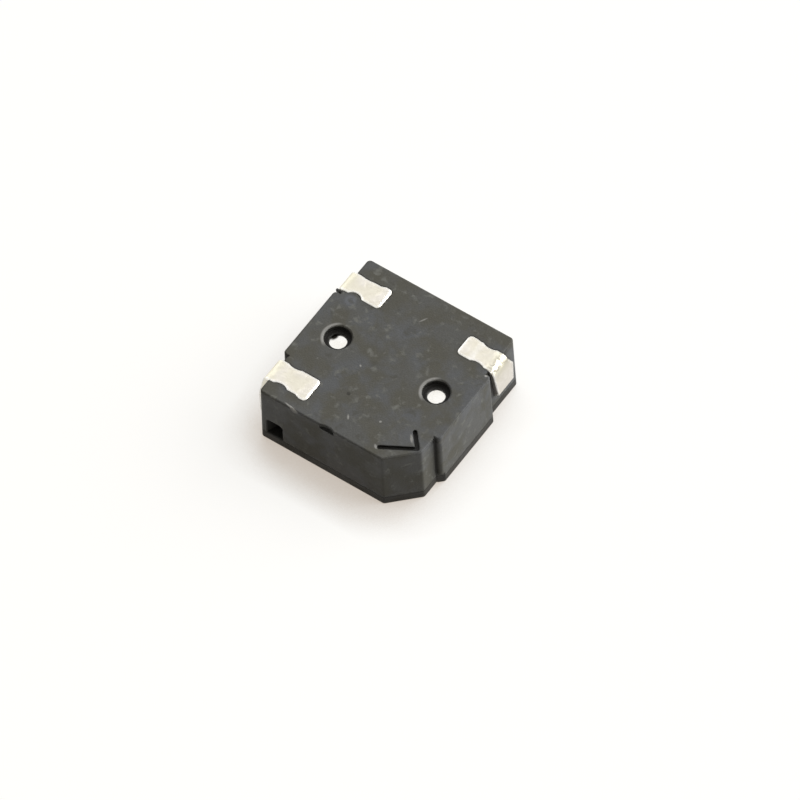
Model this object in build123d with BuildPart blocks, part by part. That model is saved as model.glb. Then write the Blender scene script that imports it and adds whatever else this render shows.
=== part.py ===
from build123d import *
import math
import os

os.makedirs("parts", exist_ok=True)

# Surface-mount magnetic buzzer, side-sounding. Millimetres and degrees.
# It lies on its cover at Z = 0, and +Z points out of its terminal face.
# +X is the side of the index corner, and -Y is the wall with the sound port.

# Moulded body, measured at the cover's outer face
body_length = 5.05
body_width = 5.01
body_height = 2.05
draft_angle = 1.0
middle_wall_length = 2.43
end_recess = 0.17
index_chamfer = 0.76
corner_radius = 0.11
face_edge_chamfer = 0.03

# Heights, from the cover up
cover_thickness = 0.30
parting_chamfer = 0.02
register_height = 0.10
register_width = 0.15
front_cavity_height = 0.57
diaphragm_thickness = 0.05
air_gap = 0.08
magnet_setback = 0.05
coil_setback = 0.07
glue_thickness = 0.03
yoke_thickness = 0.20
floor_thickness = 0.23

# Round pieces on the buzzer's axis
diaphragm_radius = 2.05
armature_radius = 1.10
armature_thickness = 0.10
core_radius = 0.45
rivet_radius = 0.30
coil_core_clearance = 0.05
coil_build = 0.65
coil_turns = 11
coil_turn_relief = 0.016
magnet_coil_clearance = 0.15
magnet_width = 0.60
edge_break = 0.03
seat_clearance = 0.05

# Terminals: tinned strip, folded round the wall onto the terminal face
strip_thickness = 0.15
strip_edge_chamfer = 0.03
bend_inner_radius = 0.05
pad_stand_off = 0.02
pad_corner_radius = 0.13
leg_setback = 0.03
leg_bottom = 0.66
leg_jog = 0.20
jog_height = 0.38
live_width = 0.66
blank_width = 0.72
back_terminal_offset = 1.62
front_terminal_offset = 1.72
pad_length_1 = 1.21
pad_length_2 = 1.38
pad_length_3 = 1.31
tab_length = 0.70
anchor_length = 0.35

# Outlines of the pads: a relief on each side of the bend, and a flare at the tip.
# Each pair of depths is for the edge towards the body's middle, then the edge towards its corner.
relief_length = 0.42
relief_from_bend = 0.14
relief_depths_1 = (0.06, 0.05)
relief_depths_2 = (0.045, 0.075)
relief_depths_3 = (0.11, 0.02)
flare_length = 0.36
flare_slope = 0.13
flare_1 = 0.02
flare_2 = 0.05
flare_3 = 0.05

# Coil ends and their solder
wire_diameter = 0.05
wire_bend_radius = 0.05
wire_sides = 8
lead_start_inset = 0.10
lead_drop_gap = 0.10
lead_tab_gap = 0.02
lead_groove_width = 0.14
solder_film = 0.01
solder_radius = 0.14
solder_height = 0.11
solder_margin = 0.0125
wire_overrun = 0.05
pocket_margin = 0.04

# Features of the housing
hole_spacing = 3.10
hole_radius = 0.37
hole_depth = 0.18
hole_rim_chamfer = 0.03
view_radius = 0.24
port_width = 0.48
port_corner_radius = 0.12
port_middle_x = -1.87
port_turn = 24.0
mark_width = 0.12
mark_depth = 0.08
mark_corner = (2.15, -1.72)
mark_long_end = (1.30, -2.21)
mark_short_end = (1.80, -1.32)
notch_size = 0.17
notch_height = 0.42
gate_x = -0.17
gate_length = 0.44
gate_depth = 0.07
gate_height = 0.16
flash_length = 0.25
flash_thickness = 0.05
flash_height = 0.10
flash_drop = 0.03
flash_gap = 0.01

# Levels that follow from the heights
diaphragm_z = cover_thickness + front_cavity_height
ledge_z = diaphragm_z + diaphragm_thickness
pole_z = ledge_z + air_gap
magnet_z = pole_z + magnet_setback
coil_z = pole_z + coil_setback
yoke_top = body_height - floor_thickness
yoke_z = yoke_top - yoke_thickness
glue_z = yoke_z - glue_thickness
pad_top = body_height + pad_stand_off
pad_z = pad_top - strip_thickness
tab_top = leg_bottom + strip_thickness
lead_z = (ledge_z + magnet_z) / 2
soldered_lead_z = leg_bottom - solder_film - wire_diameter / 2

# Radii that follow from the round pieces
coil_inner = core_radius + coil_core_clearance
coil_outer = coil_inner + coil_build
magnet_inner = coil_outer + magnet_coil_clearance
magnet_outer = magnet_inner + magnet_width
bore_radius = magnet_outer + seat_clearance
cavity_radius = diaphragm_radius + seat_clearance

# Places along X and Y, measured from the middle
half_width = body_width / 2
half_length = body_length / 2
half_middle = middle_wall_length / 2
end_wall_x = half_width - end_recess
leg_outer = half_width - leg_setback
leg_inner = leg_outer - strip_thickness
bend_outer_radius = bend_inner_radius + strip_thickness
bend_x = leg_outer - bend_outer_radius
relief_x = bend_x - relief_from_bend - relief_length / 2
tab_end_x = leg_outer - tab_length
tab_y = back_terminal_offset + leg_jog
solder_x = tab_end_x + solder_margin + solder_radius
pocket_outer_x = solder_x + solder_radius + solder_margin

# Each coil end runs straight out to where it drops past the diaphragm, just short of the tab
lead_drop_radius = cavity_radius + lead_drop_gap
lead_drop_x = tab_end_x - lead_tab_gap - lead_groove_width / 2
lead_turn = math.acos(lead_drop_x / lead_drop_radius)


# Moulded envelope: a square with four stepped-back end walls and one index corner.
# Housing and cover are both cut from it, so that their walls run on across the parting line.
with BuildPart() as envelope:
    with BuildSketch(Plane.XY):
        Rectangle(2 * end_wall_x, body_length)
        Rectangle(body_width, middle_wall_length)
        with BuildLine():
            Polyline(
                (end_wall_x - index_chamfer, -half_length),
                (end_wall_x, -half_length),
                (end_wall_x, -half_length + index_chamfer),
                close=True,
            )
        make_face(mode=Mode.SUBTRACT)
    extrude(amount=body_height)
    draft(faces().filter_by(Axis.Z, reverse=True), Plane.XY, draft_angle)
    upright_edges = edges().group_by(Axis.Z)[1]
    step_edges = upright_edges.group_by(lambda edge: abs(edge.center().Y))[0]
    step_roots = step_edges.group_by(lambda edge: abs(edge.center().X))[0]
    fillet(upright_edges.filter_by(lambda edge: edge not in step_roots), radius=corner_radius)
    chamfer(faces().sort_by(Axis.Z)[-1].edges(), face_edge_chamfer)

# Small notch low on the step beside the index corner, through the cover and into the housing
with BuildPart() as step_notch:
    with BuildSketch(Plane.XY):
        with BuildLine():
            Polyline(
                (half_width - notch_size, -half_middle),
                (half_width, -half_middle),
                (half_width, -half_middle + notch_size),
                close=True,
            )
        make_face()
    extrude(amount=notch_height)


def make_terminal(offset_y, width, inner_length, pad_length, relief_depths, flare):
    """One strip as it sits in the +X +Y corner: pad, bend, leg down the end wall and tab inside."""
    tip_x = leg_outer - pad_length
    inner_x = leg_outer - inner_length
    middle_edge = offset_y - width / 2
    corner_edge = offset_y + width / 2
    with BuildPart() as terminal:
        with BuildSketch(Plane.XZ) as fold:
            with BuildLine():
                Polyline(
                    (bend_x, pad_top),
                    (leg_outer, pad_top),
                    (leg_outer, leg_bottom),
                    (inner_x, leg_bottom),
                    (inner_x, tab_top),
                    (leg_inner, tab_top),
                    (leg_inner, pad_z),
                    (bend_x, pad_z),
                    close=True,
                )
            make_face()
            inside_bends = fold.vertices().group_by(lambda corner: abs(corner.X - leg_inner))[0]
            fillet(inside_bends, radius=bend_inner_radius)
            outside_bends = fold.vertices().group_by(Axis.X)[-1]
            fillet(outside_bends, radius=bend_outer_radius)
        extrude(amount=body_length, both=True)
        # Seen from the side, the leg is jogged towards the body's corner on its way down
        with BuildSketch(Plane.YZ):
            with BuildLine():
                Polyline(
                    (middle_edge, pad_top),
                    (corner_edge, pad_top),
                    (corner_edge, pad_z),
                    (corner_edge + leg_jog, pad_z - jog_height),
                    (corner_edge + leg_jog, leg_bottom),
                    (middle_edge + leg_jog, leg_bottom),
                    (middle_edge + leg_jog, tab_top),
                    (middle_edge, pad_z),
                    close=True,
                )
            make_face()
        extrude(amount=body_width, mode=Mode.INTERSECT)
        # Pad, with its flared tip, its rounded corners and a relief on each side of the bend
        with BuildSketch(Plane.XY.offset(pad_z)) as pad:
            with BuildLine():
                Polyline(
                    (tip_x, middle_edge),
                    (bend_x, middle_edge),
                    (bend_x, corner_edge),
                    (tip_x + flare_length, corner_edge),
                    (tip_x + flare_length - flare_slope, corner_edge + flare),
                    (tip_x, corner_edge + flare),
                    close=True,
                )
            make_face()
            for edge_y, way, depth in zip((middle_edge, corner_edge), (-1, 1), relief_depths):
                relief_radius = (relief_length**2 / 4 + depth**2) / (2 * depth)
                with Locations((relief_x, edge_y + way * (relief_radius - depth))):
                    Circle(relief_radius, mode=Mode.SUBTRACT)
            fillet(pad.vertices().group_by(Axis.X)[0], radius=pad_corner_radius)
        extrude(amount=strip_thickness)
        pad_face = terminal.faces().sort_by(Axis.Z)[-1]
        chamfer(pad_face.edges().sort_by(Axis.X)[:-1], strip_edge_chamfer)
    return terminal


# Terminals 1 and 3 are live and sit at the back. Terminal 2 only holds the part down.
live_strip = (back_terminal_offset, live_width, tab_length)
blank_strip = (front_terminal_offset, blank_width, anchor_length)
terminal_1 = make_terminal(*live_strip, pad_length_1, relief_depths_1, flare_1)
terminal_2 = make_terminal(*blank_strip, pad_length_2, relief_depths_2, flare_2)
terminal_3 = make_terminal(*live_strip, pad_length_3, relief_depths_3, flare_3)
terminals = {
    "terminal_1": terminal_1.part,
    "terminal_2": mirror(mirror(terminal_2.part, about=Plane.YZ), about=Plane.XZ),
    "terminal_3": mirror(terminal_3.part, about=Plane.YZ),
}
for name, strip in terminals.items():
    strip.label = name
    export_step(strip, f"parts/{name}.step")


def ring(inner_radius, outer_radius, bottom, top):
    """A flat ring or disc on the buzzer's axis."""
    with BuildPart() as body:
        with BuildSketch(Plane.XY.offset(bottom)):
            Circle(outer_radius)
            if inner_radius > 0:
                Circle(inner_radius, mode=Mode.SUBTRACT)
        extrude(amount=top - bottom)
    return body


def port_duct(margin):
    """The air duct from the mouth in the front wall, slantwise into the sound cavity."""
    turn = math.radians(port_turn)
    mouth = (port_middle_x, -half_length, cover_thickness)
    across = (-math.cos(turn), math.sin(turn), 0)
    along = (math.sin(turn), math.cos(turn), 0)
    with BuildPart() as duct:
        with BuildSketch(Plane(origin=mouth, x_dir=across, z_dir=along)) as section:
            duct_size = (port_width + 2 * margin, ledge_z - cover_thickness)
            Rectangle(*duct_size, align=(Align.CENTER, Align.MIN))
            fillet(section.vertices().group_by(Axis.Y)[-1], radius=port_corner_radius)
        extrude(amount=half_length, both=True)
    return duct


def lead_place(side, radius):
    """The place in plan where the coil end on one side is this far from the axis."""
    return Vector(side * radius * math.cos(lead_turn), radius * math.sin(lead_turn))


def solder_place(side):
    """The place in plan of the solder joint on one side."""
    return Vector(side * solder_x, tab_y)


# Housing: liquid crystal polymer, moulded round the terminals.
with BuildPart() as housing:
    add(envelope.part)
    split(bisect_by=Plane.XY.offset(cover_thickness), keep=Keep.TOP)
    add(step_notch.part, mode=Mode.SUBTRACT)
    # Sound cavity up to the diaphragm's ledge, then the bore for coil, magnet and yoke
    with BuildSketch(Plane.XY.offset(cover_thickness)):
        Circle(cavity_radius)
    extrude(amount=ledge_z - cover_thickness, mode=Mode.SUBTRACT)
    with BuildSketch(Plane.XY.offset(ledge_z)):
        Circle(bore_radius)
    extrude(amount=yoke_top - ledge_z, mode=Mode.SUBTRACT)
    add(port_duct(0).part, mode=Mode.SUBTRACT)
    # Solder pockets under the two live tabs
    pocket_length = pocket_outer_x - tab_end_x + pocket_margin
    pocket_x = pocket_outer_x - pocket_length / 2
    with BuildSketch(Plane.XY.offset(cover_thickness)):
        with Locations((pocket_x, tab_y), (-pocket_x, tab_y)):
            Rectangle(pocket_length, live_width - 2 * pocket_margin)
    extrude(amount=leg_bottom - cover_thickness, mode=Mode.SUBTRACT)
    # Grooves for the coil ends: a deep one from the bore to the drop, a low one on to the solder
    for side in (1, -1):
        bore_edge = lead_place(side, bore_radius)
        drop = lead_place(side, lead_drop_radius)
        deep_groove = (bore_edge, drop, lead_z + wire_diameter)
        low_groove = (drop, solder_place(side), leg_bottom)
        for start, end, top in (deep_groove, low_groove):
            with BuildSketch(Plane.XY.offset(cover_thickness)):
                SlotCenterPoint((start + end) / 2, end, lead_groove_width)
            extrude(amount=top - cover_thickness, mode=Mode.SUBTRACT)
    # Stepped holes in the terminal face, down to the bright yoke plate
    with Locations(Plane.XY.offset(body_height)):
        with GridLocations(hole_spacing, 0, 2, 1):
            CounterBoreHole(view_radius, hole_radius, hole_depth, depth=floor_thickness)
    hole_rims = edges(Select.LAST).filter_by(GeomType.CIRCLE).group_by(Axis.Z)[-1]
    chamfer(hole_rims, hole_rim_chamfer)
    for strip in terminals.values():
        add(strip, mode=Mode.SUBTRACT)
    # Index mark: two straight engraved strokes that meet beside the index corner
    with BuildSketch(Plane.XY.offset(body_height)):
        for end in (Vector(mark_long_end), Vector(mark_short_end)):
            middle = (end + Vector(mark_corner)) / 2
            SlotCenterPoint(middle, end, mark_width)
    extrude(amount=-mark_depth, mode=Mode.SUBTRACT)
    # Gate scar: a small bite out of the front top edge
    top_edge_y = -half_length + body_height * math.tan(math.radians(draft_angle))
    with BuildSketch(Plane.XY.offset(body_height)):
        with Locations((gate_x, top_edge_y)):
            Ellipse(gate_length / 2, gate_depth)
    extrude(amount=-gate_height, mode=Mode.SUBTRACT)
    # A sliver of moulding flash that stands out of the wall beside terminal 3's bend
    flash_y = back_terminal_offset - live_width / 2 - flash_gap - flash_thickness / 2
    with BuildSketch(Plane.XY.offset(body_height - flash_drop)):
        with Locations((-leg_outer, flash_y)):
            Rectangle(flash_length, flash_thickness, align=(Align.MIN, Align.CENTER))
    extrude(amount=-flash_height)
housing.part.label = "housing"
export_step(housing.part, "parts/housing.step")

# Cover: the flat plate that closes the sound cavity, with a register ring inside.
with BuildPart() as cover:
    add(envelope.part)
    split(bisect_by=Plane.XY.offset(cover_thickness), keep=Keep.BOTTOM)
    chamfer(cover.faces().sort_by(Axis.Z)[-1].edges(), parting_chamfer)
    chamfer(cover.faces().sort_by(Axis.Z)[0].edges(), face_edge_chamfer)
    add(step_notch.part, mode=Mode.SUBTRACT)
    register_outer = cavity_radius - seat_clearance
    with BuildSketch(Plane.XY.offset(cover_thickness)):
        Circle(register_outer)
        Circle(register_outer - register_width, mode=Mode.SUBTRACT)
    extrude(amount=register_height)
    add(port_duct(seat_clearance).part, mode=Mode.SUBTRACT)
cover.part.label = "cover"
export_step(cover.part, "parts/cover.step")

# Yoke plate: plated iron disc, with the hole that the core is riveted into.
yoke_plate = ring(rivet_radius, magnet_outer, yoke_z, yoke_top)
yoke_plate.part.label = "yoke_plate"
export_step(yoke_plate.part, "parts/yoke_plate.step")

# Pole core: iron pin with a broken edge at its tip, stepped down to its rivet.
with BuildPart() as pole_core:
    with BuildSketch(Plane.XY.offset(pole_z)):
        Circle(core_radius)
    extrude(amount=yoke_z - pole_z)
    chamfer(pole_core.edges().sort_by(Axis.Z)[0], edge_break)
    with BuildSketch(Plane.XY.offset(yoke_z)):
        Circle(rivet_radius)
    extrude(amount=yoke_thickness)
pole_core.part.label = "pole_core"
export_step(pole_core.part, "parts/pole_core.step")

# Coil: self-bonding enamelled wire, wound without a bobbin. Its outer layer shows turn by turn.
with BuildPart() as coil_winding:
    turn_height = (glue_z - coil_z) / coil_turns
    turn_root = coil_outer - coil_turn_relief
    with BuildSketch(Plane.XZ):
        with BuildLine():
            Polyline(
                (turn_root, coil_z),
                (coil_inner, coil_z),
                (coil_inner, glue_z),
                (turn_root, glue_z),
            )
            for turn in range(coil_turns):
                low = coil_z + turn * turn_height
                Polyline(
                    (turn_root, low),
                    (coil_outer, low + turn_height / 2),
                    (turn_root, low + turn_height),
                )
        make_face()
    revolve(axis=Axis.Z)
coil_winding.part.label = "coil_winding"
export_step(coil_winding.part, "parts/coil_winding.step")

# Ring magnet round the coil, with broken edges towards the diaphragm.
with BuildPart() as ring_magnet:
    with BuildSketch(Plane.XY.offset(magnet_z)):
        Circle(magnet_outer)
        Circle(magnet_inner, mode=Mode.SUBTRACT)
    extrude(amount=glue_z - magnet_z)
    chamfer(ring_magnet.faces().sort_by(Axis.Z)[0].edges(), edge_break)
ring_magnet.part.label = "ring_magnet"
export_step(ring_magnet.part, "parts/ring_magnet.step")

# Epoxy films that bond the coil and the magnet to the yoke plate.
coil_glue = ring(coil_inner, turn_root, glue_z, yoke_z)
coil_glue.part.label = "coil_glue"
export_step(coil_glue.part, "parts/coil_glue.step")
magnet_glue = ring(magnet_inner, magnet_outer, glue_z, yoke_z)
magnet_glue.part.label = "magnet_glue"
export_step(magnet_glue.part, "parts/magnet_glue.step")

# Diaphragm on its ledge, with the armature disc welded to its middle on the cover's side.
diaphragm = ring(0, diaphragm_radius, diaphragm_z, ledge_z)
diaphragm.part.label = "diaphragm"
export_step(diaphragm.part, "parts/diaphragm.step")
with BuildPart() as armature_disc:
    with BuildSketch(Plane.XY.offset(diaphragm_z - armature_thickness)):
        Circle(armature_radius)
    extrude(amount=armature_thickness)
    chamfer(armature_disc.edges().sort_by(Axis.Z)[0], edge_break)
armature_disc.part.label = "armature_disc"
export_step(armature_disc.part, "parts/armature_disc.step")

# Coil ends: out of the coil, over the magnet, down their grooves and under the live tabs.
for number, side in ((1, 1), (2, -1)):
    start = lead_place(side, coil_outer - lead_start_inset)
    drop = lead_place(side, lead_drop_radius)
    joint = solder_place(side)
    along = (joint - drop).normalized()
    wire_end = joint + along * wire_overrun
    with BuildPart() as coil_lead:
        with BuildLine() as route:
            FilletPolyline(
                (start.X, start.Y, coil_z),
                (start.X, start.Y, lead_z),
                (drop.X, drop.Y, lead_z),
                (drop.X, drop.Y, soldered_lead_z),
                (wire_end.X, wire_end.Y, soldered_lead_z),
                radius=min(wire_bend_radius, coil_z - lead_z - wire_diameter / 2),
            )
        with BuildSketch(Plane(origin=route.line @ 0, z_dir=route.line % 0)):
            RegularPolygon(wire_diameter / 2, wire_sides)
        sweep()
    coil_lead.part.label = f"coil_lead_{number}"
    export_step(coil_lead.part, f"parts/coil_lead_{number}.step")

    # Solder: a low dome on the tab, closed round the end of the wire
    with BuildPart() as solder_joint:
        dome_middle = (joint.X, joint.Y, leg_bottom)
        with BuildSketch(Plane(origin=dome_middle, x_dir=(along.Y, -along.X, 0), z_dir=-along)):
            with BuildLine():
                Line((0, 0), (solder_radius, 0))
                EllipticalCenterArc((0, 0), solder_radius, solder_height, arc_size=-90)
                Line((0, -solder_height), (0, 0))
            make_face()
        revolve(axis=Axis(dome_middle, (0, 0, 1)))
        add(coil_lead.part, mode=Mode.SUBTRACT)
    solder_joint.part.label = f"solder_joint_{number}"
    export_step(solder_joint.part, f"parts/solder_joint_{number}.step")
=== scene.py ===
import math

import bpy
from mathutils import Matrix, Vector


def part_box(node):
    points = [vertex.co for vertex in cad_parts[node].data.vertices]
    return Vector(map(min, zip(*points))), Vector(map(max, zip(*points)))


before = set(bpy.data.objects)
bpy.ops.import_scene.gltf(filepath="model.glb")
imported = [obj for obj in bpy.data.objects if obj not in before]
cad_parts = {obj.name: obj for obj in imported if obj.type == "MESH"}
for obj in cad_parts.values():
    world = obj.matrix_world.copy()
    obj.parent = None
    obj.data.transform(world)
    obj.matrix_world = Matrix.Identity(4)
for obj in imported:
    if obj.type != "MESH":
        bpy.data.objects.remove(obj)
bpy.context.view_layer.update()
MM = 0.001

# The photograph's camera: a long lens, front right and above, with the frame turned a little.
# Angles are in degrees. Azimuth 0 faces the wall with the port, azimuth 90 the wall on its right.
CAMERA_AZIMUTH = 37.56
CAMERA_ELEVATION = 56.03
CAMERA_ROLL = -3.39
CAMERA_DISTANCE = 217 * MM
CAMERA_CLIP_FACTOR = 10
SENSOR_WIDTH = 36.0
FRAME_PIXELS = 800
PIXELS_PER_METRE = 38480.0
FOCUS_HEIGHT = 0.987 * MM
AIM_RIGHT_PIXELS = 11.7
AIM_DOWN_PIXELS = 12.4

# Square softboxes, each aimed at the part: name, azimuth, elevation, watts
SOFTBOX_WIDTH = 0.5
SOFTBOX_DISTANCE = 0.45
SOFTBOXES = (
    ("key_softbox", 138, 25, 4.3),
    ("left_softbox", 250, 20, 0.6),
    ("under_softbox", 37, -60, 3.0),
)
# The even room round the part, slightly warm, and the background that the camera sees instead
ROOM_HEX = "#fff5e8"
ROOM_LEVEL = 0.26
BACKGROUND_HEX = "#ffffff"

# The paper lies this much above the cover's underside, so that the two are not in one plane
PAPER_HEIGHT = 0.003 * MM
PAPER_REACH = 0.6
PAPER_HEX = "#727272"
PAPER_GLOW_HEX = "#fffefb"
PAPER_GLOW = 0.86
# Painted contact shadow: where the part takes the open room away, the paper keeps this share of its
# glow and this tone. The room is looked for this far off, on the side away from the key softbox
PAPER_SHADE = 0.6
PAPER_SHADE_HEX = "#fff1e2"
PAPER_SHADE_REACH = 1.3 * MM
PAPER_SHADE_TOWARDS = {"X": 0.15, "Y": 0.75, "Z": 0.65}
PAPER_SHADE_ROOM = 0.35
PAPER_TONE_ROOM = (0.3, 0.9)

# Places on the part that its finishes are tied to
FACE_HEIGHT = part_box("housing")[1].z
FRONT_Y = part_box("housing")[0].y
PAD_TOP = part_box("terminal_1")[1].z
LEG_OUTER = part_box("terminal_1")[1].x
CREASE_X = LEG_OUTER - 0.78 * MM
YOKE_TOP_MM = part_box("yoke_plate")[1].z / MM
PORT_X = -1.87 * MM
HOLE_X = 1.55 * MM
HOLE_RADIUS = 0.37 * MM

# Tones of the black plastic. The cover, whose sides are the band along the foot, is painted darker than
# the housing as shade along the foot
HOUSING_TONES = {
    "warm": "#53524b",
    "cool": "#595b5d",
    "rubbed": "#70716c",
    "stained": "#45443e",
    "shaded": "#191815",
}
COVER_SHADED_TONES = {
    "warm": "#3c3a35",
    "cool": "#3e3f3e",
    "rubbed": "#4a4a46",
    "stained": "#312f2a",
    "shaded": "#191815",
}
# The pale tone of the painted highlight on the left rims of the pin holes
HOLE_RIM_HIGHLIGHT_HEX = "#90908d"

# Patterns: size in millimetres, detail, and the noise levels where a patch starts and is full.
# The melt's flow leaves clouds under a millimetre across in the plastic, and broader drifts
LCP_CLOUDS = (0.7, 4.0, 0.36, 0.64)
LCP_DRIFTS = (1.6, 2.0, 0.35, 0.65)
# Handling leaves rub marks of a quarter of a millimetre, and stains a little larger
LCP_RUBS = (0.22, 3.0, 0.56, 0.78)
LCP_STAINS = (0.35, 4.0, 0.56, 0.74)
# The plastic sinks a little between its walls as it cools
LCP_SINKS = (0.9, 2.0, 0.2, 0.8)
LCP_SINK_DEPTH = 0.008
# The glass fibres are about 0.01 mm thick, and are drawn four times as coarse so that they show
LCP_FIBRES = (0.04, 2.0, 0.3, 0.7)
LCP_FIBRE_DEPTH = 0.0015
LCP_EDGE_RADIUS = 0.05

TIN_TONES = {
    "warm": "#d8d3c4",
    "cast": "#dbd6cd",
    "bend": "#d8d4bd",
    "leg": "#e2ddd5",
    "pitted": "#b9b2a2",
    # Painted highlight on the rounded edges and on the crease
    "rubbed": "#fdfcf9",
    # Painted shade in the folds of the bend
    "fold_shade": "#b0aa9d",
}
# Grains of tin are thousandths of a millimetre, and are drawn as groups so that they show
TIN_CRYSTALS = (0.16, 4.0, 0.3, 0.7)
TIN_CRYSTAL_DEPTH = 0.004
# The plating's thickness drifts over half a millimetre, and the bend crumples in shorter folds
TIN_CAST = (0.45, 2.0, 0.35, 0.65)
TIN_CAST_DEPTH = 0.012
TIN_FOLDS = (0.3, 1.5, 0.25, 0.75)
TIN_FOLD_DEPTH = 0.05
TIN_CREASE_DEPTH = 0.006
TIN_EDGE_RADIUS = 0.1

# A rounded edge leans fully off its face where the two normals' cosine is down to this
EDGE_TURN = 0.8

# Each pair below is where a share starts and where it is full.
# Painted shade in the port, first by the distance from its middle and then by places on the part
PORT_ASIDE = (0.44 * MM, 0.38 * MM)
PORT_LIP = (FRONT_Y + 0.01 * MM, FRONT_Y + 0.06 * MM)
PORT_END = (FRONT_Y + 1.5 * MM, FRONT_Y + 1.3 * MM)
PORT_CEILING = (1.0 * MM, 0.9 * MM)
PORT_FLOOR = (0.22 * MM, 0.27 * MM)
PORT_PAINTED_SHADE = 0.6
# Painted shade in corners and in the pits of the face, judged by how much open room there is this near
CREVICE_SHADE_REACH = 0.4 * MM
CORNER_ROOM = (0.9, 0.5)
CORNER_FOOT = (0.05 * MM, 0.15 * MM)
PIT_ROOM = (0.95, 0.72)
PIT_HEIGHT = (FACE_HEIGHT - 0.25 * MM, FACE_HEIGHT - 0.2 * MM)
# The painted highlight round a pin hole's mouth, from the hole's edge outwards, and only on its left
HOLE_RIM_INNER = (HOLE_RADIUS, HOLE_RADIUS + 0.03 * MM)
HOLE_RIM_OUTER = (HOLE_RADIUS + 0.11 * MM, HOLE_RADIUS + 0.05 * MM)
HOLE_RIM_LEFT = (-0.1 * MM, -0.3 * MM)
# The right-hand terminal only, its leg below the bend, and how near the bend and crease reach
RIGHT_SIDE = (-0.1 * MM, 0.1 * MM)
LEG_HEIGHT = (PAD_TOP - 0.2 * MM, PAD_TOP - 0.9 * MM)
BEND_REACH = (0.4 * MM, 0.12 * MM)
CREASE_REACH = (0.14 * MM, 0.02 * MM)

# Marks on the housing, handling scuffs and painted highlights and sheen at a few places: start and end
# in millimetres, width in millimetres, tone
HOUSING_MARKS_AND_GLINTS = (
    # Painted sheen: a paler bluish patch beside the waist of the back terminal on the -X side
    ((-2.10, 1.05, 2.05), (-1.80, 1.25, 2.05), 0.40, "#63666b"),
    ((-0.34, -1.34, 2.05), (-0.28, -1.24, 2.05), 0.14, "#32312d"),
    # A scratch along the front top edge, drawn pale with the edge's highlight painted into it
    ((-1.55, -2.41, 2.05), (-1.00, -2.52, 2.03), 0.07, "#a9a9a6"),
    # Painted glint on the top corner of the middle wall beside the leg on the +X side
    ((2.30, 1.10, 2.05), (2.39, 1.15, 2.05), 0.08, "#a9a9a6"),
    # The next two are painted highlights on the rims of the index mark's strokes
    ((1.14, -2.19, 2.05), (1.28, -2.31, 2.05), 0.09, "#8d8d8a"),
    ((1.74, -1.42, 2.05), (1.94, -1.66, 2.05), 0.09, "#8d8d8a"),
    ((0.04, -1.80, 2.05), (0.15, -1.97, 2.05), 0.07, "#8d8d8a"),
    ((0.85, -1.52, 2.05), (0.90, -1.58, 2.05), 0.09, "#8d8d8a"),
    ((-0.08, 1.54, 2.05), (0.06, 1.80, 2.05), 0.05, "#83837f"),
    ((-0.57, -0.43, 2.05), (-0.53, -0.38, 2.05), 0.09, "#8d8d8a"),
)
# Dark smears on the plating at the bottom of the two pin holes
YOKE_SMEARS = (
    ((-1.78, -0.06, YOKE_TOP_MM), (-1.68, 0.26, YOKE_TOP_MM), 0.20, "#24211d"),
    ((-1.36, -0.24, YOKE_TOP_MM), (-1.26, 0.0, YOKE_TOP_MM), 0.14, "#24211d"),
    ((1.78, -0.2, YOKE_TOP_MM), (1.72, -0.08, YOKE_TOP_MM), 0.10, "#24211d"),
)

# Node settings that come back
SMOOTH = {"interpolation_type": "SMOOTHSTEP"}
COLOURS = {"data_type": "RGBA"}
MULTIPLY = {"operation": "MULTIPLY"}
SUBTRACT = {"operation": "SUBTRACT"}
LARGER = {"operation": "MAXIMUM"}
ABSOLUTE = {"operation": "ABSOLUTE"}
DISTANCE = {"operation": "DISTANCE"}
FOUR_RAYS = {"samples": 4}


def linear(code):
    """An sRGB hex code as the linear colour that a socket takes."""
    shares = [int(code[at : at + 2], 16) / 255 for at in (1, 3, 5)]
    return (*[s / 12.92 if s <= 0.04045 else ((s + 0.055) / 1.055) ** 2.4 for s in shares], 1.0)


def add(tree, kind, settings, inputs):
    """Adds one node with its settings, fills its inputs with values or links, and gives its outputs."""
    node = tree.nodes.new(kind)
    for name, value in settings.items():
        setattr(node, name, value)
    for key, value in inputs.items():
        if isinstance(value, bpy.types.NodeSocket):
            tree.links.new(value, node.inputs[key])
        else:
            node.inputs[key].default_value = value
    return node.outputs


def new_material(name):
    """An empty material, its node tree and the frame's coordinates in metres."""
    material = bpy.data.materials.new(name)
    material.use_nodes = True
    tree = material.node_tree
    tree.nodes.clear()
    place = add(tree, "ShaderNodeTexCoord", {}, {})["Object"]
    return material, tree, place


def zone(tree, limits, within=()):
    """1 where each measure has gone from its outer value to its inner one, times other shares."""
    shares = list(within)
    for measure, (outer, inner) in limits:
        spread = {"Value": measure, "From Min": outer, "From Max": inner}
        shares.append(add(tree, "ShaderNodeMapRange", SMOOTH, spread)["Result"])
    overlap = shares[0]
    for share in shares[1:]:
        overlap = add(tree, "ShaderNodeMath", MULTIPLY, {0: overlap, 1: share})["Value"]
    return overlap


def coats(tree, base_hex, layers):
    """A base tone with others laid over it in turn: where each lies, its strength, its tone."""
    colour = linear(base_hex)
    for share, strength, over_hex in layers:
        if strength < 1:
            softer = {"Value": share, "To Max": strength}
            share = add(tree, "ShaderNodeMapRange", SMOOTH, softer)["Result"]
        inputs = {0: share, 6: colour, 7: linear(over_hex)}
        colour = add(tree, "ShaderNodeMix", COLOURS, inputs)[2]
    return colour


def uneven(tree, swells, normal=None):
    """A surface with relief of these real depths in millimetres laid over it in turn."""
    for height, depth in swells:
        inputs = {"Height": height, "Distance": depth * MM}
        if normal is not None:
            inputs["Normal"] = normal
        normal = add(tree, "ShaderNodeBump", {}, inputs)["Normal"]
    return normal


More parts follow.
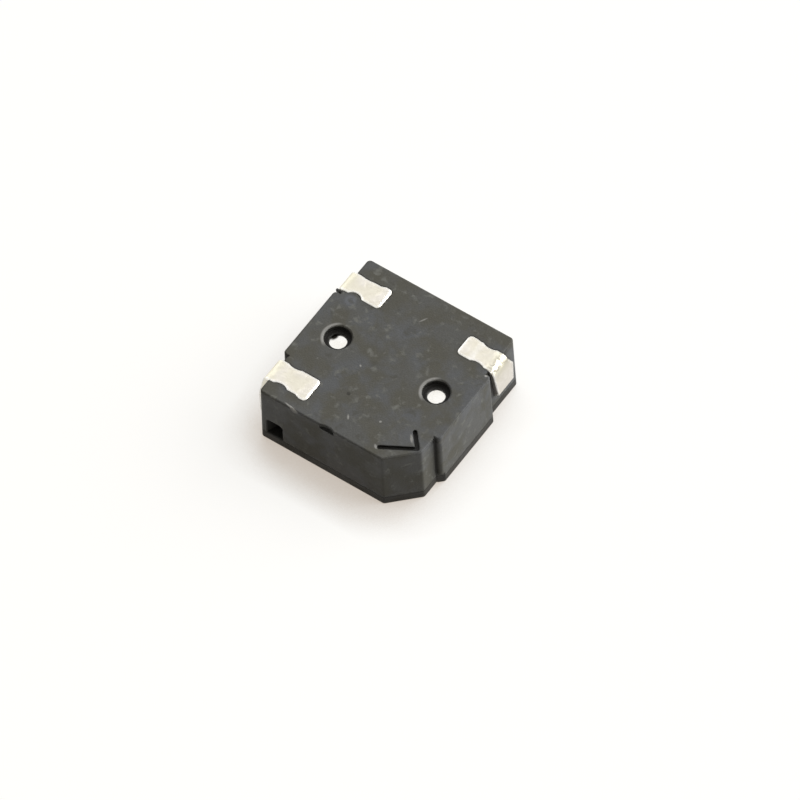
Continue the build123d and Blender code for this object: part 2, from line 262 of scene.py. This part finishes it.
def patches(tree, place, size, detail, start, full):
    """Soft patches of this size in millimetres, from 0 to 1 between two noise levels."""
    inputs = {"Vector": place, "Scale": 1 / (size * MM), "Detail": detail, "Distortion": 0.3}
    noise = add(tree, "ShaderNodeTexNoise", {}, inputs)["Fac"]
    return zone(tree, [(noise, (start, full))])


def marks(tree, place, marks_and_glints):
    """Straight marks as coats, such as scuff marks, smears and painted highlights, each an ellipse on
    the surface that fades at its rim.
    """
    layers = []
    for start, end, width, tone_hex in marks_and_glints:
        start, end = Vector(start), Vector(end)
        run = end - start
        stretch = {
            "Vector": place,
            "Location": (start + end) / 2 * MM,
            "Rotation": (0, 0, math.atan2(run.y, run.x)),
            "Scale": (run.length / 2 * MM, width / 2 * MM, width * 2 * MM),
        }
        local = add(tree, "ShaderNodeMapping", {"vector_type": "TEXTURE"}, stretch)["Vector"]
        away = add(tree, "ShaderNodeVectorMath", {"operation": "LENGTH"}, {0: local})["Value"]
        layers.append((zone(tree, [(away, (1.1, 0.4))]), 1, tone_hex))
    return layers


def rounded_edges(tree, radius):
    """The normal of edges rounded to this radius in millimetres, and how far it leans off the face."""
    normal = add(tree, "ShaderNodeBevel", FOUR_RAYS, {"Radius": radius * MM})["Normal"]
    flat = add(tree, "ShaderNodeNewGeometry", {}, {})["Normal"]
    dot = {"operation": "DOT_PRODUCT"}
    agree = add(tree, "ShaderNodeVectorMath", dot, {0: normal, 1: flat})["Value"]
    spread = {"Value": agree, "From Min": 1.0, "From Max": EDGE_TURN}
    lean = add(tree, "ShaderNodeMapRange", {}, spread)["Result"]
    return normal, lean


def port_inside(tree, place):
    """1 on the walls and floor inside the sound port, and 0 on the outside of the body."""
    at = add(tree, "ShaderNodeSeparateXYZ", {}, {0: place})
    aside = add(tree, "ShaderNodeMath", SUBTRACT, {0: at["X"], 1: PORT_X})["Value"]
    aside = add(tree, "ShaderNodeMath", ABSOLUTE, {0: aside})["Value"]
    limits = [
        (aside, PORT_ASIDE),
        (at["Y"], PORT_LIP),
        (at["Y"], PORT_END),
        (at["Z"], PORT_CEILING),
        (at["Z"], PORT_FLOOR),
    ]
    return zone(tree, limits)


def painted_crevice_shade(tree, place):
    """Painted shade: darkest in corners above the foot, in the port, and in the holes and strokes of
    the face.
    """
    height = add(tree, "ShaderNodeSeparateXYZ", {}, {0: place})["Z"]
    room = add(tree, "ShaderNodeAmbientOcclusion", FOUR_RAYS, {"Distance": CREVICE_SHADE_REACH})["AO"]
    corners = zone(tree, [(room, CORNER_ROOM), (height, CORNER_FOOT)])
    pits = zone(tree, [(room, PIT_ROOM), (height, PIT_HEIGHT)])
    softer = {"Value": port_inside(tree, place), "To Max": PORT_PAINTED_SHADE}
    port = add(tree, "ShaderNodeMapRange", SMOOTH, softer)["Result"]
    corners = add(tree, "ShaderNodeMath", LARGER, {0: corners, 1: port})["Value"]
    return add(tree, "ShaderNodeMath", LARGER, {0: corners, 1: pits})["Value"]


def painted_hole_rim_highlights(tree, place):
    """A thin pale painted highlight on the left side of each pin hole's mouth."""
    at = add(tree, "ShaderNodeSeparateXYZ", {}, {0: place})
    side = add(tree, "ShaderNodeMath", {"operation": "SIGN"}, {0: at["X"]})["Value"]
    hole_x = add(tree, "ShaderNodeMath", MULTIPLY, {0: side, 1: HOLE_X})["Value"]
    across = add(tree, "ShaderNodeMath", SUBTRACT, {0: at["X"], 1: hole_x})["Value"]
    parts = {"X": across, "Y": at["Y"], "Z": at["Z"]}
    spot = add(tree, "ShaderNodeCombineXYZ", {}, parts)["Vector"]
    mouth = (0, 0, FACE_HEIGHT)
    gap = add(tree, "ShaderNodeVectorMath", DISTANCE, {0: spot, 1: mouth})["Value"]
    return zone(tree, [(gap, HOLE_RIM_INNER), (gap, HOLE_RIM_OUTER), (across, HOLE_RIM_LEFT)])


def lcp_colour(tree, place, tones, clouds, fibres, lean, marks_and_glints):
    """Cloudy charcoal, with rub marks and stains on it, painted highlights and sheen at a few places,
    and painted shade on its rounded edges, in its corners and in its hollows.
    """
    faint = {"Value": fibres, "To Max": 0.16}
    layers = [
        (clouds, 1, tones["cool"]),
        (patches(tree, place, *LCP_DRIFTS), 0.5, tones["warm"]),
        (patches(tree, place, *LCP_RUBS), 1, tones["rubbed"]),
        (add(tree, "ShaderNodeMapRange", {}, faint)["Result"], 1, tones["shaded"]),
        *marks(tree, place, marks_and_glints),
        (patches(tree, place, *LCP_STAINS), 0.6, tones["stained"]),
        # Painted highlight on the left rim of each pin hole
        (painted_hole_rim_highlights(tree, place), 1, HOLE_RIM_HIGHLIGHT_HEX),
        # Painted shade along the rounded edges
        (lean, 0.6, tones["shaded"]),
        # Painted shade in corners, in the port, and in the pin holes and strokes of the face
        (painted_crevice_shade(tree, place), 1, tones["shaded"]),
    ]
    return coats(tree, tones["warm"], layers)


def moulded_lcp(name, tones, marks_and_glints=()):
    """Black glass-filled liquid crystal polymer from a spark-eroded mould.

    To the eye it is a matt charcoal with cloudy warm and cool patches from the melt's flow, a few
    pale rub marks, painted highlights and sheen at a few places, and painted shade that makes it
    almost black where the light does not reach.
    """
    material, tree, place = new_material(name)
    clouds = patches(tree, place, *LCP_CLOUDS)
    sinks = patches(tree, place, *LCP_SINKS)
    fibres = patches(tree, place, *LCP_FIBRES)
    edges, lean = rounded_edges(tree, LCP_EDGE_RADIUS)
    gloss = {"Value": clouds, "To Min": 0.62, "To Max": 0.5}
    swells = [(sinks, LCP_SINK_DEPTH), (fibres, LCP_FIBRE_DEPTH)]
    finish = {
        "Base Color": lcp_colour(tree, place, tones, clouds, fibres, lean, marks_and_glints),
        "Roughness": add(tree, "ShaderNodeMapRange", {}, gloss)["Result"],
        "IOR": 1.6,
        "Specular IOR Level": 0.15,
        "Normal": uneven(tree, swells, edges),
    }
    surface = add(tree, "ShaderNodeBsdfPrincipled", {}, finish)["BSDF"]
    add(tree, "ShaderNodeOutputMaterial", {}, {"Surface": surface})
    return material


def near_line(tree, place, x, z, reach):
    """1 near the line at this x and z along both rows of terminals, and 0 beyond its reach."""
    at = add(tree, "ShaderNodeSeparateXYZ", {}, {0: place})
    outward = add(tree, "ShaderNodeMath", ABSOLUTE, {0: at["X"]})["Value"]
    spot = add(tree, "ShaderNodeCombineXYZ", {}, {"X": outward, "Z": at["Z"]})["Vector"]
    gap = add(tree, "ShaderNodeVectorMath", DISTANCE, {0: spot, 1: (x, 0, z)})["Value"]
    return zone(tree, [(gap, reach)])


def tin_colour(tree, cast, crystals, bend, leg, rubbed, shaded_fold_lines):
    """Warm white tin: yellower at the bend, paler down the leg, with painted highlights on its edges
    and crease and painted shade in the folds of the bend.
    """
    pits = {"Value": crystals, "To Min": 0.18, "To Max": 0.0}
    layers = [
        (cast, 1, TIN_TONES["cast"]),
        (bend, 0.5, TIN_TONES["bend"]),
        (leg, 1, TIN_TONES["leg"]),
        (add(tree, "ShaderNodeMapRange", {}, pits)["Result"], 1, TIN_TONES["pitted"]),
        # Painted highlights on the rounded edges and on the crease of the right-hand terminal
        (rubbed, 1, TIN_TONES["rubbed"]),
        # Painted shade in thin lines along the folds of the bend
        (shaded_fold_lines, 1, TIN_TONES["fold_shade"]),
    ]
    return coats(tree, TIN_TONES["warm"], layers)


def satin_tin():
    """Tin electroplated on brass strip that was punched and folded.

    To the eye it is a soft warm white metal. Its rounded edges are smoother, with painted highlights
    along them. The right-hand terminal also has a crease beside its bend with a painted highlight
    along it, and the bend is a little crumpled, with painted shade in its folds.
    """
    material, tree, place = new_material("satin_tin_plate")
    edges, lean = rounded_edges(tree, TIN_EDGE_RADIUS)
    crystals = patches(tree, place, *TIN_CRYSTALS)
    folds = patches(tree, place, *TIN_FOLDS)
    cast = patches(tree, place, *TIN_CAST)
    at = add(tree, "ShaderNodeSeparateXYZ", {}, {0: place})
    right_side = zone(tree, [(at["X"], RIGHT_SIDE)])
    leg = zone(tree, [(at["Z"], LEG_HEIGHT)])
    bend = near_line(tree, place, LEG_OUTER, PAD_TOP, BEND_REACH)
    crease = near_line(tree, place, CREASE_X, PAD_TOP, CREASE_REACH)
    broken = {"Value": folds, "To Min": 0.2, "To Max": 0.7}
    broken = add(tree, "ShaderNodeMapRange", SMOOTH, broken)["Result"]
    crease = zone(tree, [], [crease, right_side, broken])
    # Painted highlights on the rounded edges and on the crease; the same places are also made smoother
    highlit_edges = zone(tree, [(lean, (0.06, 0.5))])
    rubbed = add(tree, "ShaderNodeMath", LARGER, {0: highlit_edges, 1: crease})["Value"]
    faint = {"Value": bend, "From Min": 0.3, "To Max": 0.55}
    faint = add(tree, "ShaderNodeMapRange", SMOOTH, faint)["Result"]
    # Painted shade in thin lines along the folds of the right-hand terminal's bend
    shaded_fold_lines = zone(tree, [(folds, (0.2, 0.5)), (folds, (0.8, 0.5))], [faint, right_side])
    crumple = zone(tree, [], [folds, bend, right_side])
    gloss = {"Value": rubbed, "To Min": 0.42, "To Max": 0.3}
    swells = [
        (cast, TIN_CAST_DEPTH),
        (crystals, TIN_CRYSTAL_DEPTH),
        (crumple, TIN_FOLD_DEPTH),
        (crease, TIN_CREASE_DEPTH),
    ]
    finish = {
        "Base Color": tin_colour(tree, cast, crystals, bend, leg, rubbed, shaded_fold_lines),
        "Metallic": 1.0,
        "Roughness": add(tree, "ShaderNodeMapRange", {}, gloss)["Result"],
        "Normal": uneven(tree, swells, edges),
    }
    surface = add(tree, "ShaderNodeBsdfPrincipled", {}, finish)["BSDF"]
    add(tree, "ShaderNodeOutputMaterial", {}, {"Surface": surface})
    return material


def grained_metal(name, tones, grain_size, grain_depth, roughness, smears=()):
    """A metal between a darker and a lighter tone, with grain of this size and depth in millimetres."""
    material, tree, place = new_material(name)
    dark_hex, light_hex = tones
    grain = patches(tree, place, grain_size, 3.0, 0.3, 0.7)
    # The tone drifts over several grains
    drift = patches(tree, place, grain_size * 6, 3.0, 0.35, 0.65)
    layers = [(drift, 1, light_hex), *marks(tree, place, smears)]
    gloss = {"Value": grain, "To Min": roughness * 0.85, "To Max": roughness * 1.15}
    finish = {
        "Base Color": coats(tree, dark_hex, layers),
        "Metallic": 1.0,
        "Roughness": add(tree, "ShaderNodeMapRange", {}, gloss)["Result"],
        "Normal": uneven(tree, [(grain, grain_depth)]),
    }
    surface = add(tree, "ShaderNodeBsdfPrincipled", {}, finish)["BSDF"]
    add(tree, "ShaderNodeOutputMaterial", {}, {"Surface": surface})
    return material


def nickel_plated_iron():
    """Stamped iron, barrel plated with nickel: bright and slightly warm, with dark smears on it.

    Under the plating the stamping leaves a faint orange peel, 0.05 mm across.
    """
    tones = ("#f6f3ec", "#fbf9f4")
    return grained_metal("nickel_plated_iron", tones, 0.05, 0.0005, 0.2, YOKE_SMEARS)


def turned_iron():
    """Soft iron turned to size: a greyer metal whose tool marks, 0.04 mm apart, dull its shine."""
    return grained_metal("turned_iron", ("#b9b6b0", "#cfccc6"), 0.04, 0.003, 0.32)


def plated_sintered_magnet():
    """Magnet powder pressed, sintered and plated: a soft grey, like fine sandpaper to the eye.

    Its grains are about 0.01 mm, and are drawn six times as coarse so that they show.
    """
    return grained_metal("plated_sintered_magnet", ("#a3a19c", "#c4c2bd"), 0.06, 0.006, 0.42)


def rolled_alloy():
    """Thin magnetic alloy, rolled and punched: an even grey with a fine 0.03 mm texture."""
    return grained_metal("rolled_alloy", ("#a5a39e", "#bdbbb6"), 0.03, 0.002, 0.28)


def bright_solder():
    """Solder that froze from a drop: bright and smooth, with shallow dimples 0.08 mm across."""
    return grained_metal("bright_solder", ("#bfbebb", "#dcdbd8"), 0.08, 0.006, 0.2)


def enamelled_copper():
    """Drawn copper wire of 0.05 mm, dipped in clear enamel.

    To the eye it is a deep orange metal with a wet shine over it. Its tone drifts over five wire
    widths. The die's marks are much finer than the wire, and are drawn 0.03 mm apart to show.
    """
    material, tree, place = new_material("enamelled_copper_wire")
    tone = patches(tree, place, 0.25, 3.0, 0.3, 0.7)
    drawn = patches(tree, place, 0.03, 2.0, 0.3, 0.7)
    gloss = {"Value": drawn, "To Min": 0.24, "To Max": 0.38}
    finish = {
        "Base Color": coats(tree, "#9c4a20", [(tone, 1, "#b8622c")]),
        "Metallic": 1.0,
        "Roughness": add(tree, "ShaderNodeMapRange", {}, gloss)["Result"],
        "Coat Weight": 0.6,
        "Coat Roughness": 0.12,
        "Coat IOR": 1.55,
        "Normal": uneven(tree, [(drawn, 0.001)]),
    }
    surface = add(tree, "ShaderNodeBsdfPrincipled", {}, finish)["BSDF"]
    add(tree, "ShaderNodeOutputMaterial", {}, {"Surface": surface})
    return material


def cured_epoxy():
    """A thin film of epoxy, squeezed flat and cured: dark amber and glossy, with 0.3 mm swells."""
    material, tree, place = new_material("cured_epoxy")
    swell = patches(tree, place, 0.3, 3.0, 0.3, 0.7)
    gloss = {"Value": swell, "To Min": 0.14, "To Max": 0.24}
    finish = {
        "Base Color": coats(tree, "#3a2413", [(swell, 1, "#58381c")]),
        "Roughness": add(tree, "ShaderNodeMapRange", {}, gloss)["Result"],
        "IOR": 1.55,
        "Normal": uneven(tree, [(swell, 0.004)]),
    }
    surface = add(tree, "ShaderNodeBsdfPrincipled", {}, finish)["BSDF"]
    add(tree, "ShaderNodeOutputMaterial", {}, {"Surface": surface})
    return material


def background_share(tree):
    """1 for the background that camera, metal and glass see, and 0 for what lights the part."""
    path = add(tree, "ShaderNodeLightPath", {}, {})
    share = path["Is Camera Ray"]
    for ray in ("Is Glossy Ray", "Is Transmission Ray"):
        share = add(tree, "ShaderNodeMath", LARGER, {0: share, 1: path[ray]})["Value"]
    return share


def white_paper():
    """Plain white paper: it keeps the part's soft shadow, and is white to camera and metal.

    It glows less beside the part, as a painted shadow, most of all on the side that is turned away from
    the key softbox.
    """
    material, tree, _ = new_material("white_paper")
    # The painted shadow: the paper's glow dims where the part takes the open room away
    towards = add(tree, "ShaderNodeCombineXYZ", {}, PAPER_SHADE_TOWARDS)["Vector"]
    look = {"Distance": PAPER_SHADE_REACH, "Normal": towards}
    room = add(tree, "ShaderNodeAmbientOcclusion", FOUR_RAYS, look)["AO"]
    spread = {
        "Value": room,
        "From Min": PAPER_SHADE_ROOM,
        "To Min": PAPER_SHADE * PAPER_GLOW,
        "To Max": PAPER_GLOW,
    }
    level = add(tree, "ShaderNodeMapRange", SMOOTH, spread)["Result"]
    lit = zone(tree, [(room, PAPER_TONE_ROOM)])
    light = {
        "Color": coats(tree, PAPER_SHADE_HEX, [(lit, 1, PAPER_GLOW_HEX)]),
        "Strength": zone(tree, [], [background_share(tree), level]),
    }
    glow = add(tree, "ShaderNodeEmission", {}, light)["Emission"]
    sheet = add(tree, "ShaderNodeBsdfDiffuse", {}, {"Color": linear(PAPER_HEX)})["BSDF"]
    surface = add(tree, "ShaderNodeAddShader", {}, {0: sheet, 1: glow})["Shader"]
    add(tree, "ShaderNodeOutputMaterial", {}, {"Surface": surface})
    return material


def dress(node_names, material):
    """Gives CAD nodes their finish."""
    for name in node_names:
        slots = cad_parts[name].data.materials
        slots.clear()
        slots.append(material)


def direction(azimuth, elevation):
    """The unit vector at these degrees, where azimuth 0 is -Y and azimuth 90 is +X."""
    a, e = math.radians(azimuth), math.radians(elevation)
    return Vector((math.sin(a) * math.cos(e), -math.cos(a) * math.cos(e), math.sin(e)))


def softbox(name, azimuth, elevation, watts):
    """A square softbox that is aimed at the part."""
    lamp = bpy.data.lights.new(name, "AREA")
    lamp.shape = "SQUARE"
    lamp.size = SOFTBOX_WIDTH
    lamp.energy = watts
    back = direction(azimuth, elevation)
    holder = bpy.data.objects.new(name, lamp)
    holder.location = back * SOFTBOX_DISTANCE
    holder.rotation_mode = "QUATERNION"
    holder.rotation_quaternion = back.to_track_quat("Z", "Y")
    bpy.context.scene.collection.objects.link(holder)


def studio_room():
    """An even warm room round the part, which is plain white to the camera and in metal."""
    world = bpy.data.worlds.new("studio")
    bpy.context.scene.world = world
    world.use_nodes = True
    tree = world.node_tree
    tree.nodes.clear()
    seen = background_share(tree)
    level = {"Value": seen, "To Min": ROOM_LEVEL, "To Max": 1.0}
    light = {
        "Color": coats(tree, ROOM_HEX, [(seen, 1, BACKGROUND_HEX)]),
        "Strength": add(tree, "ShaderNodeMapRange", {}, level)["Result"],
    }
    room = add(tree, "ShaderNodeBackground", {}, light)["Background"]
    add(tree, "ShaderNodeOutputWorld", {}, {"Surface": room})


def paper_sheet():
    """The paper that the part lies on."""
    signs = ((-1, -1), (1, -1), (1, 1), (-1, 1))
    corners = [(x * PAPER_REACH, y * PAPER_REACH, PAPER_HEIGHT) for x, y in signs]
    mesh = bpy.data.meshes.new("floor")
    mesh.from_pydata(corners, [], [(0, 1, 2, 3)])
    mesh.materials.append(white_paper())
    floor = bpy.data.objects.new("floor", mesh)
    bpy.context.scene.collection.objects.link(floor)


def photo_camera():
    """A camera at the photograph's angle. It is aimed beside the part instead of shifted."""
    back = direction(CAMERA_AZIMUTH, CAMERA_ELEVATION)
    roll = math.radians(CAMERA_ROLL)
    level_right = direction(CAMERA_AZIMUTH + 90, 0)
    level_up = back.cross(level_right)
    right = level_right * math.cos(roll) + level_up * math.sin(roll)
    up = level_up * math.cos(roll) - level_right * math.sin(roll)
    lens = bpy.data.cameras.new("camera")
    lens.sensor_width = SENSOR_WIDTH
    lens.lens = CAMERA_DISTANCE * PIXELS_PER_METRE * SENSOR_WIDTH / FRAME_PIXELS
    lens.clip_start = CAMERA_DISTANCE / CAMERA_CLIP_FACTOR
    lens.clip_end = CAMERA_DISTANCE * CAMERA_CLIP_FACTOR
    camera = bpy.data.objects.new("camera", lens)
    aim = (right * AIM_RIGHT_PIXELS - up * AIM_DOWN_PIXELS) / PIXELS_PER_METRE
    spot = Vector((0, 0, FOCUS_HEIGHT)) + back * CAMERA_DISTANCE + aim
    turn = Matrix((right, up, back)).transposed().to_4x4()
    camera.matrix_world = Matrix.Translation(spot) @ turn
    bpy.context.scene.collection.objects.link(camera)
    bpy.context.scene.camera = camera


dress(["housing"], moulded_lcp("moulded_black_lcp", HOUSING_TONES, HOUSING_MARKS_AND_GLINTS))
dress(["cover"], moulded_lcp("shaded_black_lcp_cover", COVER_SHADED_TONES))
dress(["terminal_1", "terminal_2", "terminal_3"], satin_tin())
dress(["yoke_plate"], nickel_plated_iron())
dress(["pole_core"], turned_iron())
dress(["ring_magnet"], plated_sintered_magnet())
dress(["diaphragm", "armature_disc"], rolled_alloy())
dress(["solder_joint_1", "solder_joint_2"], bright_solder())
dress(["coil_winding", "coil_lead_1", "coil_lead_2"], enamelled_copper())
dress(["coil_glue", "magnet_glue"], cured_epoxy())

paper_sheet()
for box in SOFTBOXES:
    softbox(*box)
studio_room()
photo_camera()
bpy.context.scene.view_settings.view_transform = "Standard"
